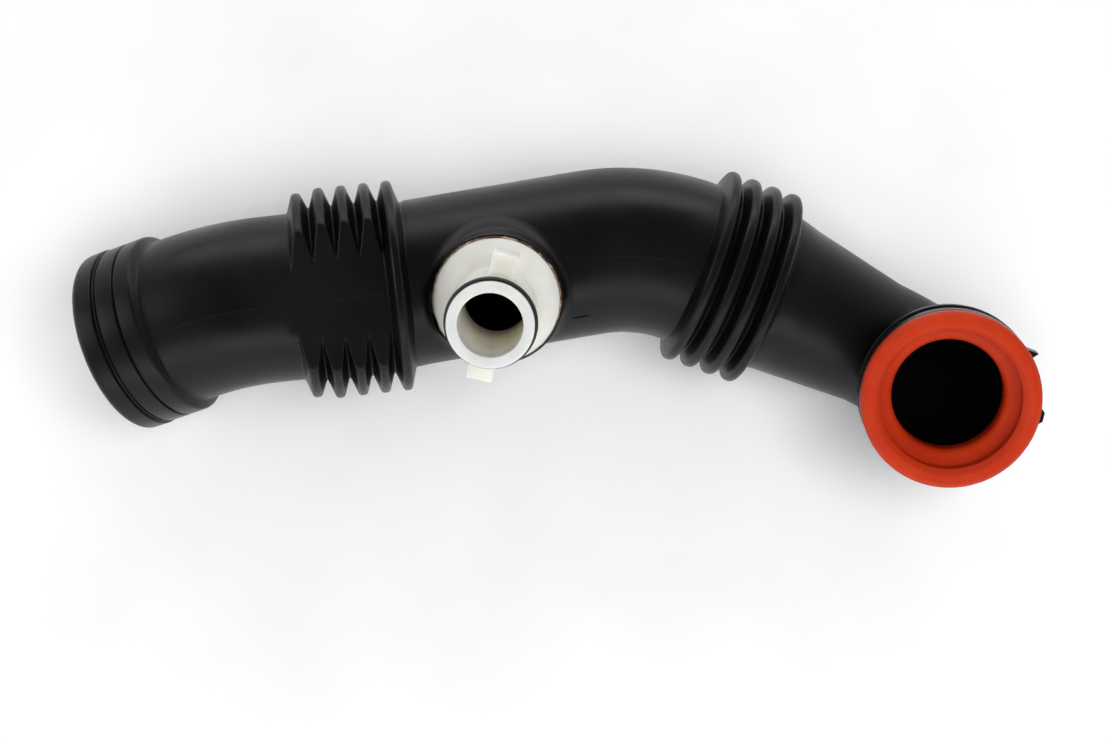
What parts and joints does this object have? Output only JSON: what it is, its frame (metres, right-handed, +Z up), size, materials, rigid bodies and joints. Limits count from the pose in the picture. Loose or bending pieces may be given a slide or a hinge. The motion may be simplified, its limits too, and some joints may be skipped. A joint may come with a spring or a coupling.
{
  "type": "air intake hose",
  "caption": "Moulded engine air intake hose with a clamp cuff, two bellows, an elbow with a collar and lip seal, and a welded breather spigot.",
  "frame": {"origin": "on the floor below the centre of the bounding box, with the hose lying as it comes to rest", "axes": "+X along the longest extent, from the clamp cuff to the collar; +Z up from the floor, along the shortest extent"},
  "size_m": [0.3677, 0.1255, 0.1195],
  "materials": {
    "hose": "satin",
    "collar": "satin",
    "seal": "matte",
    "spigot": "satin",
    "o_ring": "satin"
  },
  "bodies": {
    "root": {"hose_body": "hose", "end_collar": "collar", "inlet_seal": "seal", "breather_spigot": "spigot", "spigot_o_ring": "o_ring"}
  },
  "joints": []
}
